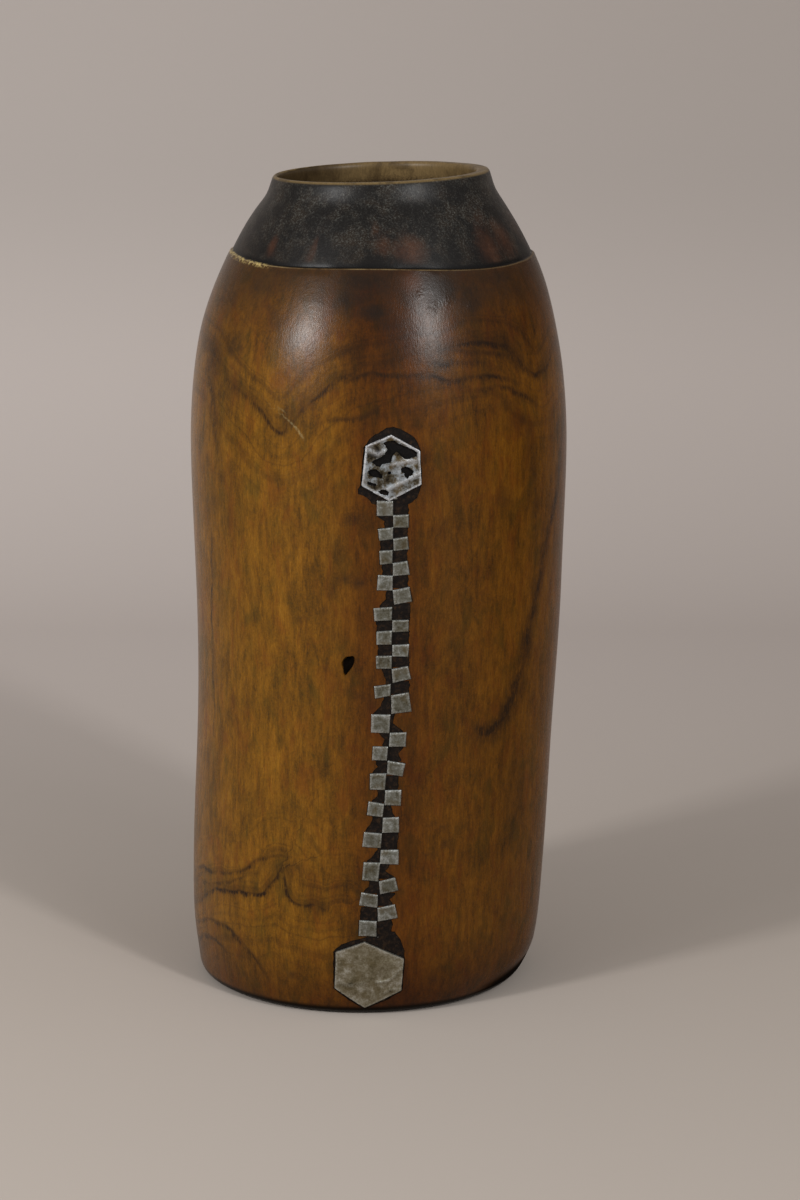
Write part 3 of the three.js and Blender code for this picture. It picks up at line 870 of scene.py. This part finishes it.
woodLook = {
    "woodStops": [(0.34, "#3a270a"), (0.66, "#8b5f18"), (0.45, "#5f3e0b"), (0.53, "#744c0e")],
    "olive": "#4a3a0e", "red": "#6b3a0c", "blotch": "#3a290c", "pore": "#221504",
    "rightShade": "#ccbfa6", "stripShade": "#e2d2c0", "footShade": "#b9a99a", "shoulderShade": "#d9d0bd",
    "ringDark": "#261607", "mark": "#21150a", "paintedFootShadow": "#0b0704", "sunken": "#0c0805", "scratch": "#94865e",
    "smoke": "#1c140e", "stain": "#241910",
    "char": "#120f0d", "charBrown": "#241c14", "dust": "#54544f", "warm": "#492b1a",
    "ledgePale": "#776444", "chip": "#b09a62", "ledgeCornerShade": "#080605",
    "lip": "#6b5838", "lipDark": "#1c140c", "hollow": "#6b5738", "hollowDark": "#2c2013",
    # widths and lengths of the grain's noises
    "fibre": (0.5, 3.2), "streak": (2.2, 12), "hue": (7, 15), "cloud": (12, 22), "patch": (3.6, 6),
    "fleck": (0.8, 2.4),
}


def grainNoise(place, size, detail, roughness, distortion=0.0):  # drawn out along the upright grain
    width, length = size
    grain = noiseIn(stretched(place, (1, 1, width / length)), 1 / width, detail, roughness)
    grain.inputs["Distortion"].default_value = distortion
    return grain


def lineParts(tree, name):  # signed distance from the line in mm, its darkness and half width there
    return addNode(tree, "SeparateXYZ", {}, {0: attribute(tree, name, "Vector")}).outputs


def acrossLine(distance, width):  # 1 on the line, 0 at its edges
    return mapped(joined("DIVIDE", (absolute(distance), width)), 0.1, 1.7, 1, 0)


def ringShade(place, fibres, mottle):
    # A growth line is crisp on one side and fades out on the other, beside fainter bands that
    # run with it, and it wanders a little as the blade cut through soft and hard rings.
    tree = place.id_data
    slow = noiseIn(place, 0.07, 1)
    wander = summed(scaled(slow, 5, -2.5), scaled(fibres, 1.6, -0.8), scaled(mottle, 3.2, -1.6))
    strength = times(mapped(mottle, 0.36, 0.6, 0.5, 1), mapped(fibres, 0.3, 0.55, 0.6, 1))
    shades = []
    for name, line in ringLines.items():
        signed, darkness, width = lineParts(tree, name)
        distance = summed(signed, wander)
        core = scaled(acrossLine(distance, width), 0.85)
        trailing = times(mapped(distance, -line["trail"] * 1.4, 0), mapped(distance, 0, 1.2, 1, 0))
        shades.append(times(summed(scaled(trailing, 0.45), core), darkness, strength))
        if "bands" in line:
            settings = {"noise_dimensions": "1D", "Scale": 0.2, "Detail": 4, "Roughness": 0.62}
            bands = addNode(tree, "TexNoise", settings, {"W": distance})
            near = mapped(absolute(signed), 3, 36, line["bands"], 0)
            shades.append(times(mapped(bands, 0.46, 0.66), near))
    return darkest(*shades)


def scratchShade(grit):
    shades = []
    for name in scratches:
        signed, darkness, width = lineParts(grit.id_data, name)
        shades.append(times(acrossLine(signed, width), darkness, mapped(grit, 0.38, 0.6, 0.1, 0.6)))
    return darkest(*shades)


def carvedWoodMaterial():
    # Hardwood scraped smooth and rubbed with fat for years: amber between dark growth lines,
    # a satin skin, fine upright fibres, and a neck charred with a hot iron.
    material, tree, place = newMaterial("oiled hardwood, scraped and charred")
    look = woodLook
    names = ("height", "inside", "sunken", "darkMark", "smoke", "warm", "knocked", "ledgeWearAndHighlight")
    height, inside, sunken, darkMark, smoke, warm, knocked, ledgeWearAndHighlight = (
        attribute(tree, name) for name in names)
    across, towardsBack = addNode(tree, "SeparateXYZ", {}, {0: place}).outputs[:2]
    # real fibres and pores are finer than a pixel, so they are drawn near 0.5 mm wide
    fibres = grainNoise(place, look["fibre"], 2, 0.7)
    streaks = grainNoise(place, look["streak"], 4, 0.7, 0.3)
    hues = grainNoise(place, look["hue"], 3, 0.65, 0.5)
    clouds = grainNoise(place, look["cloud"], 6, 0.7, 0.6)
    patches = grainNoise(place, look["patch"], 5, 0.72, 0.4)
    flecks = grainNoise(place, look["fleck"], 1, 0.5)
    grit, dust = noiseIn(place, 1.4, 3, 0.7), noiseIn(place, 1.5, 5, 0.8)
    mottle, blotches = noiseIn(place, 0.13, 5, 0.65), noiseIn(place, 0.17, 6, 0.75)
    scraped = noiseIn(stretched(place, (0.3, 0.3, 1.1)), 1.4, 5, 0.7)

    tone = summed(scaled(clouds, 0.38), scaled(streaks, 0.38), scaled(patches, 0.1, 0.07),
                  scaled(grit, 0.3, -0.15))
    onSide = times(mapped(height, 268, 272, 1, 0), mapped(inside, 0, 1, 1, 0))
    ringDarkness = times(ringShade(place, fibres, mottle), onSide)
    uneven = summed(scaled(mottle, 0.5), scaled(streaks, 0.3), scaled(patches, 0.3, -0.05))
    marks = times(darkMark, mapped(uneven, 0.4, 0.6, 0.3, 1))
    smoked = mapped(summed(smoke, scaled(uneven, 2.2, -1.15)), 0.1, 0.9, 0, 0.85)
    warmed = mapped(summed(warm, scaled(uneven, 1.5, -0.75)), 0.1, 1.15, 0, 0.7)
    fromStrip = absolute(scaled(across, 1, -10))  # mm to the side of the inlay
    facing = mapped(towardsBack, -20, 0, 1, 0)
    patchyHeight = summed(height, scaled(clouds, 44, -22))
    onNeck = mapped(height, 271.25, 271.6)
    upNeck = mapped(height, 272, 286, 0.45, 1)
    dusty = times(mapped(mottle, 0.36, 0.62, 0.15, 1), onNeck, upNeck)
    leftChips = times(mapped(across, -54, -50), mapped(across, -37, -30, 1, 0))
    chips = times(mapped(height, 269.6, 270.9), mapped(height, 271.2, 271.5, 1, 0), leftChips,
                  mapped(noiseIn(place, 0.8, 3, 0.7), 0.48, 0.56))
    edge = times(mapped(height, 270.8, 270.95), mapped(height, 271.1, 271.25, 1, 0), ledgeWearAndHighlight,
                 mapped(mottle, 0.34, 0.5, 0.35, 1))
    onLip = mapped(height, 298.9, 299.7)
    deep = mapped(summed(height, scaled(dust, 9, -4.5)), 296, 291)

    layers = [  # mask, colour, and MIX unless a way to blend is given
        (mapped(hues, 0.5, 0.72, 0, 0.55), look["olive"]),
        (mapped(hues, 0.49, 0.3, 0, 0.45), look["red"]),
        (mapped(blotches, 0.55, 0.75, 0, 0.22), look["blotch"]),
        (mapped(across, -36, 12), look["rightShade"], "MULTIPLY"),
        (times(mapped(fromStrip, 7, 20, 1, 0), facing), look["stripShade"], "MULTIPLY"),
        (mapped(height, 34, 2), look["footShade"], "MULTIPLY"),
        (mapped(flecks, 0.63, 0.76, 0, 0.22), look["pore"]),
        (ringDarkness, look["ringDark"]),
        (marks, look["mark"]),
        (scratchShade(grit), look["scratch"]),
        (mapped(height, 226, 254), look["shoulderShade"], "MULTIPLY"),
        (mapped(patchyHeight, 248, 272, 0, 0.68), look["stain"]),
        (smoked, look["smoke"]),
        # sunken wood in the pit and the cuts for the inlay is near black: dirt, with painted shade in these
        # recesses
        (sunken, look["sunken"]),
        (mapped(height, 4.4, 2.4, 0, 0.96), look["paintedFootShadow"]),  # painted shadow under the foot, on the lowest 4.4 mm of the wood
        (onNeck, look["char"]),
        (times(onNeck, mapped(mottle, 0.42, 0.66, 0, 0.8)), look["charBrown"]),
        (times(dusty, mapped(dust, 0.48, 0.64, 0, 0.7)), look["dust"]),
        (times(dusty, mapped(scraped, 0.6, 0.76, 0, 0.7)), look["dust"]),
        # reddish-brown patches, and at turn 11 a painted highlight
        (warmed, look["warm"]),
        # painted shade in the corner where the neck rises from the ledge
        (times(mapped(height, 271.1, 271.3), mapped(height, 271.9, 273.4, 1, 0)), look["ledgeCornerShade"]),
        # the ledge's edge: worn pale, with a painted highlight along it
        (edge, look["ledgePale"]),
        (chips, look["chip"]),
        (onLip, look["lip"]),
        (times(onLip, mapped(mottle, 0.48, 0.64, 0, 0.55)), look["lipDark"]),
        (inside, look["hollow"]),
        (times(inside, mapped(clouds, 0.46, 0.66, 0, 0.6)), look["hollowDark"]),
        # painted shade inside the hollow: darker deeper down and towards the left
        (times(inside, darkest(deep, mapped(across, 12, -28, 0, 0.8))), look["hollowDark"]),
    ]
    colour = addNode(tree, "ValToRGB", {"stops": look["woodStops"]}, {0: tone})
    for layer in layers:
        colour = overlaid(colour, *layer)
    grain = summed(scaled(fibres, -0.9, 1.45), scaled(grit, -0.5, 0.25))
    colour = addNode(tree, "Mix", {"data_type": "RGBA", "blend_type": "MULTIPLY", 0: 1.0},
                     {6: colour, 7: addNode(tree, "CombineColor", {}, {0: grain, 1: grain, 2: grain})})
    charred = mapped(height, 270, 272, 0, 0.12)
    roughness = summed(scaled(fibres, 0.12, 0.2), charred, scaled(sunken, 0.5))
    dents = times(knocked, noiseIn(place, 1.1, 2, 0.6))
    relief = summed(scaled(fibres, 0.7), scaled(grit, 0.35), scaled(mottle, 1.5), scaled(dents, 3.5))
    shine = times(mapped(sunken, 0, 1, 0.5, 0.05), mapped(height, 2.4, 4.4, 0.2, 1),
                  mapped(across, 34, 62, 1, 0.35))  # duller to the right, as the photo shows it
    return surfaced(material, {"IOR": 1.28}, {
        "Base Color": colour, "Roughness": roughness, "Specular IOR Level": shine,
        "Normal": raised(relief, 0.5, 0.11)})


finishPiece(vesselWood, carvedWoodMaterial(), ["vessel"])
print("wood finished")


# Metal squares

square = {"cuts": 6, "softEdge": 0.14, "cornerDrift": 0.16, "dent": 0.12, "dentLength": 2.2, "tilt": 0.12}


def metalMaterial(name, look):
    # Sheet aluminium cut with a chisel and hammered flat: rubbed bright along its edges, with a painted
    # highlight that is brightest on the top and left edges, grey on the face, with brown tarnish and soot
    # rubbed into the hollows.
    material, tree, place = newMaterial(name)
    edge, tone = attribute(tree, "edge"), attribute(tree, "tone")
    patches, specks = noiseIn(place, look["patchScale"], 5, 0.7), noiseIn(place, 1.6, 4, 0.75)
    dull = summed(scaled(patches, 1 - look["speckle"]), scaled(specks, look["speckle"]), tone,
                  scaled(edge, -0.06))
    colour = addNode(tree, "ValToRGB", {"stops": look["stops"]}, {0: dull})
    colour = overlaid(colour, mapped(noiseIn(place, 0.21), 0.52, 0.66, 0, 0.35), look["brown"])
    colour = overlaid(colour, times(edge, mapped(specks, 0.62, 0.4, *look["edgeWearAndHighlight"])), look["edge"])
    return surfaced(material, {"Metallic": 0.85}, {
        "Base Color": colour, "Roughness": mapped(dull, 0.35, 0.7, 0.36, 0.62),
        "Normal": raised(summed(specks, patches), 0.6, 0.12)})


def cutSquare(node, index, material):
    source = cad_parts[node]
    piece = bpy.data.objects.new(node + "_metal", source.data.copy())
    bpy.context.scene.collection.objects.link(piece)
    startEditing(piece)
    bpy.ops.mesh.remove_doubles(threshold=0.005 * mm)
    bpy.ops.mesh.dissolve_limited(angle_limit=math.radians(3))
    bpy.ops.mesh.subdivide(number_cuts=square["cuts"])
    stopEditing()
    softenEdges(piece, square["softEdge"], 30)
    points = pointsOf(piece)
    middle = points.mean(axis=0)
    outwards = Vector((middle[0] - float(leanAt(middle[2])), middle[1], 0)).normalized()
    sideways = Vector((0, 0, 1)).cross(outwards).normalized()
    away = points - middle
    w = away @ np.array(outwards)
    rng = random.Random(index * 31 + 7)

    def onFace(corner):
        return np.array(((corner.x - middle[0]) / sideways.x, corner.y - middle[2]))

    lowLeft, lowRight, upRight, upLeft = (onFace(corner) for corner in squareCorners(node))
    rightwards = (lowRight + upRight - lowLeft - upLeft) / 4
    upwards = (upLeft + upRight - lowLeft - lowRight) / 4
    centre = (lowLeft + lowRight + upRight + upLeft) / 4
    flat = np.stack([away @ np.array(sideways), away[:, 2]], axis=1) - centre
    s, t = np.linalg.solve(np.stack([rightwards, upwards], axis=1), flat.T)
    moved = np.zeros((len(points), 2))
    for (cornerS, cornerT), corner in zip(cornerSides, cornersOnSeam(node)):
        drift = np.array((rng.uniform(-1, 1), rng.uniform(-1, 1))) * square["cornerDrift"]
        moved += np.outer((1 + s * cornerS) * (1 + t * cornerT) / 4, onFace(corner) + drift)
    front = smoothStep(w, -0.2, 0.5)
    w = w + front * square["dent"] * noiseAt(points, square["dentLength"], index)
    w = w + front * square["tilt"] * (s * rng.uniform(-1, 1) + t * rng.uniform(-1, 1))
    placed = middle + np.outer(moved[:, 0], sideways) + np.outer(w, outwards)
    placed[:, 2] += moved[:, 1]
    movePoints(piece, placed)
    rubbed = smoothStep(np.maximum(np.abs(s), np.abs(t)), 0.7, 0.97)  # rubbed edges, with a painted highlight that makes them brightest at the top and the left
    giveValues(piece, "edge", rubbed * (0.6 + 0.4 * np.clip(np.maximum(t, -s), -1, 1)))
    giveValues(piece, "tone", rng.uniform(-0.05, 0.06) + 0.04 * noiseAt(points, 3.5, index + 50))
    smoothExceptEdges(piece, 40)
    finishPiece(piece, material, [node])


squareMetal = metalMaterial("sheet aluminium, chiselled and tarnished", {
    "stops": [(0.34, "#a3a6a4"), (0.7, "#2b2619"), (0.45, "#74746c"), (0.56, "#5a574a")],
    "brown": "#5d4f33", "edge": "#b3b5b1", "edgeWearAndHighlight": (0.05, 0.8), "patchScale": 0.42, "speckle": 0.35,
})
for index, node in enumerate(leftSquares + rightSquares):
    cutSquare(node, index, squareMetal)
print("squares set:", len(leftSquares + rightSquares))


# Metal plates

plate = {
    "spacing": 0.42, "proud": 0.6, "mostProud": 0.89, "thickness": 0.95, "rim": 1.3, "softEdge": 0.1,
    "dent": 0.2, "dentLength": 4.2, "fineDentLength": 1.4, "voidRag": 0.12, "voidStep": 0.5, "voidDepth": 3,
    "voids": [  # burnt or corroded right through
        [(3.9, 205.7), (5, 206.5), (6.5, 207.2), (8, 207.9), (8.9, 208.9), (9.5, 210.2), (9.2, 211.2),
         (8.1, 212.3), (9, 213), (10.3, 213.3), (12.1, 213.3), (13.3, 212.4), (14.7, 211.8),
         (16.8, 210.8), (18.9, 209.8), (20, 208.8), (19.9, 207.6), (18.6, 207.1), (17.2, 206.7),
         (15.8, 206.6), (15.1, 207.2), (14.4, 207.9), (13.6, 208.8), (12.8, 209.4), (12.1, 208.8),
         (11.5, 207.6), (11.1, 206.5), (10.8, 205.6), (9.8, 205.3), (8.5, 205.2), (7.6, 204.6),
         (7, 203.9), (5.9, 204.3), (5, 205)],
        [(2.7, 202.6), (3.8, 203.2), (5.2, 203.3), (6.4, 202.8), (7.3, 201.9), (8, 200.8), (7.8, 200),
         (6.3, 200.4), (4.7, 200.4), (3.3, 201.2)],
        [(14.4, 203.6), (15.8, 204.1), (17.3, 203.7), (18.8, 202.5), (18.5, 201.1), (17.3, 200.6),
         (16.5, 199.7), (15.8, 200.2), (15.4, 201.6), (14.5, 202.3)],
        [(2.6, 198.8), (3.8, 198.7), (5.7, 198.1), (5.6, 197.1), (4.2, 197.3), (2.7, 197.9)],
        [(6.5, 195.4), (7.5, 196), (8.9, 196), (10.2, 195), (9.8, 193.8), (8.4, 194.1), (7.1, 194.6)],
        [(9.9, 202.3), (11.1, 202.4), (11, 201.5), (9.9, 201.5)],
    ],
    "ridges": {  # raised lines hammered or folded into the face: points, height, half width
        "upper_plate": [([(5.5, 194.8), (10, 196.4), (15, 198.6), (20.4, 201.4)], 0.22, 0.7),
                        ([(2.2, 210.6), (6.5, 208.4), (8.4, 209.6)], 0.2, 0.8),
                        ([(11.6, 204.9), (14, 205.4), (19.8, 206.2)], 0.16, 0.6)],
        "lower_plate": [([(5.6, 13.8), (9.4, 14.2), (11.6, 15.6), (13, 17.6), (14.8, 19)], 0.34, 0.45),
                        ([(8.4, 9.4), (10.8, 10.8), (14.3, 10.6)], 0.2, 0.5),
                        ([(-9, 14), (-4, 12.4), (1, 13.4)], 0.16, 0.9)],
    },
    "stains": {  # x, height, reach, darkness
        "upper_plate": [
            (4.6, 209.3, 3, 0.13), (7, 207.8, 2.2, 0.12), (17.5, 199.5, 2.2, -0.06),
            (5, 199.8, 2.4, 0.03), (11.5, 206.8, 1.6, -0.07), (13.6, 200.6, 2.4, -0.04),
            (9, 193.4, 2, 0.03)],
        "lower_plate": [
            (-4, 24, 5, -0.05), (4, 18, 5, 0.04), (12, 10, 3.5, -0.05), (-3, 12, 4, 0.04), (8, 24, 4, 0),
            (1, 6, 3, -0.02)],
    },
}


def fromLine(points, path):
    gaps = [besideStretch(points[:, [0, 2]], start, end)[1] for start, end in zip(path, path[1:])]
    return np.min([np.hypot(*gap.T) for gap in gaps], axis=0)


def hammerPlate(node, name, dentSeed, rimHeight):
    outline = inlay["plates"][node]
    xs, zs = zip(*outline)
    piece = frontSheet(name, ((min(xs), min(zs)), (max(xs), max(zs))), plate["spacing"])
    middle = Vector((sum(xs) / len(xs), 0, sum(zs) / len(zs)))
    for (x1, z1), (x2, z2) in zip(outline, outline[1:] + outline[:1]):
        across = Vector((z2 - z1, 0, x1 - x2)).normalized()
        if across.dot(Vector((x1, 0, z1)) - middle) < 0:
            across.negate()
        startEditing(piece)
        bpy.ops.mesh.bisect(plane_co=Vector((x1, 0, z1)) * mm, plane_no=across, clear_outer=True)
        stopEditing()
    points = pointsOf(piece)
    fromEdge = fromLine(points, outline + outline[:1])
    rim = 1 - smoothStep(fromEdge, 0, plate["rim"])
    top = smoothStep(points[:, 2] - middle.z - 0.4 * (points[:, 0] - middle.x), -4, 4)
    dents = noiseAt(points, plate["dentLength"], dentSeed)
    dents += 0.5 * noiseAt(points, plate["fineDentLength"], dentSeed + 1)
    proud = plate["proud"] + plate["dent"] * dents * (1 - rim) + rimHeight * rim * (0.3 + 0.7 * top)
    # edges and raised ridges rubbed bright, with a painted highlight that makes the top and left edges
    # brightest
    bright = (1 - smoothStep(fromEdge, 0.2, 0.9)) * (0.55 + 0.45 * top)
    for path, rise, halfWidth in plate["ridges"][node]:
        onRidge = hump(fromLine(points, path), 0, halfWidth)
        proud += rise * onRidge
        bright = np.maximum(bright, 2 * rise * onRidge)
    tone = np.zeros(len(points))
    for x, z, reach, darkness in plate["stains"][node]:
        tone += darkness * hump(points[:, 0], x, reach) * hump(points[:, 2], z, reach)
    for i, (x, _, z) in enumerate(points):
        points[i] = onWood(x, z, min(plate["mostProud"], proud[i]))
    movePoints(piece, points)
    giveValues(piece, "edge", bright)
    giveValues(piece, "tone", tone)
    applyModifier(piece, "SOLIDIFY", {"thickness": plate["thickness"] * mm, "offset": -1})
    return piece


def finishPlate(piece, node, material):
    softenEdges(piece, plate["softEdge"], 50)
    smoothExceptEdges(piece, 40)
    finishPiece(piece, material, [node])


upperPlate = hammerPlate("upper_plate", "upper_hexagon_plate", 61, 0.28)
voids = [ragged(void, plate["voidRag"], plate["voidStep"]) for void in plate["voids"]]
cutAway(upperPlate, cutterFor(voids, plate["voidDepth"]))
finishPlate(upperPlate, "upper_plate", metalMaterial("sheet aluminium, burnt through and rubbed bright", {
    "stops": [(0.34, "#b4bbc2"), (0.62, "#1c150b"), (0.46, "#84898c"), (0.53, "#4c4434")],
    "brown": "#6e5b37", "edge": "#eceef2", "edgeWearAndHighlight": (0.35, 1), "patchScale": 0.26, "speckle": 0.12,
}))
lowerPlate = hammerPlate("lower_plate", "lower_hexagon_plate", 71, 0.16)
finishPlate(lowerPlate, "lower_plate", metalMaterial("sheet aluminium, hammered and browned", {
    "stops": [(0.34, "#b1afa4"), (0.7, "#3d3625"), (0.46, "#867f6c"), (0.56, "#6b624c")],
    "brown": "#65583a", "edge": "#b4b4ac", "edgeWearAndHighlight": (0.05, 0.8), "patchScale": 0.2, "speckle": 0.15,
}))
print("plates set")
